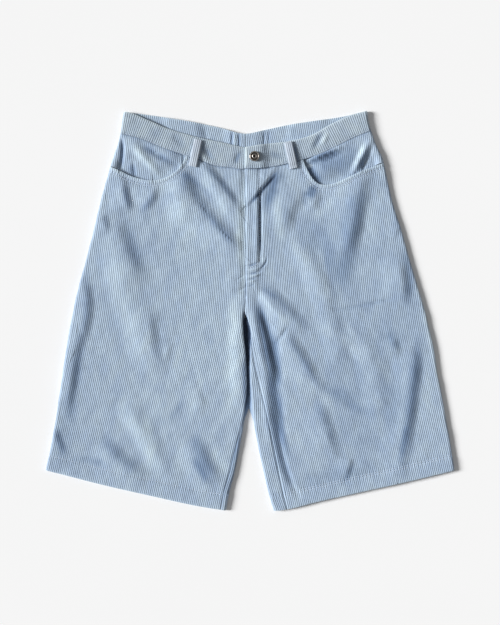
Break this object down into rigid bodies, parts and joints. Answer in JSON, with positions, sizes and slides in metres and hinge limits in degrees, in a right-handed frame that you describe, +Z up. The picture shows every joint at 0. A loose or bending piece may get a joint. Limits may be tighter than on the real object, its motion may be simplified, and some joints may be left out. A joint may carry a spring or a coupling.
{
  "type": "corduroy bermuda shorts",
  "caption": "Light blue wide-wale corduroy bermuda shorts laid flat, with a waistband, fly, scoop pockets, belt loops and a metal shank button.",
  "frame": {"origin": "middle of the garment's outline, on the surface that it rests on", "axes": "+X to the right of a viewer who looks down on the front, +Y from hems to waist, +Z up out of the front"},
  "size_m": [0.674, 0.6589, 0.0158],
  "materials": {
    "corduroy": "light blue cotton corduroy with raised vertical wales and a soft nap",
    "button_metal": "antique dark metal with worn bright edges"
  },
  "bodies": {
    "root": {"front_panel_left": "corduroy", "front_panel_right": "corduroy", "back_panel_left": "corduroy", "back_panel_right": "corduroy", "pocket_facing_left": "corduroy", "pocket_facing_right": "corduroy", "waistband_front_left": "corduroy", "waistband_front_right": "corduroy", "waistband_back": "corduroy", "belt_loop_front_left": "corduroy", "belt_loop_front_right": "corduroy", "belt_loop_back_left": "corduroy", "belt_loop_back_middle": "corduroy", "belt_loop_back_right": "corduroy", "button": "button_metal"}
  },
  "joints": []
}
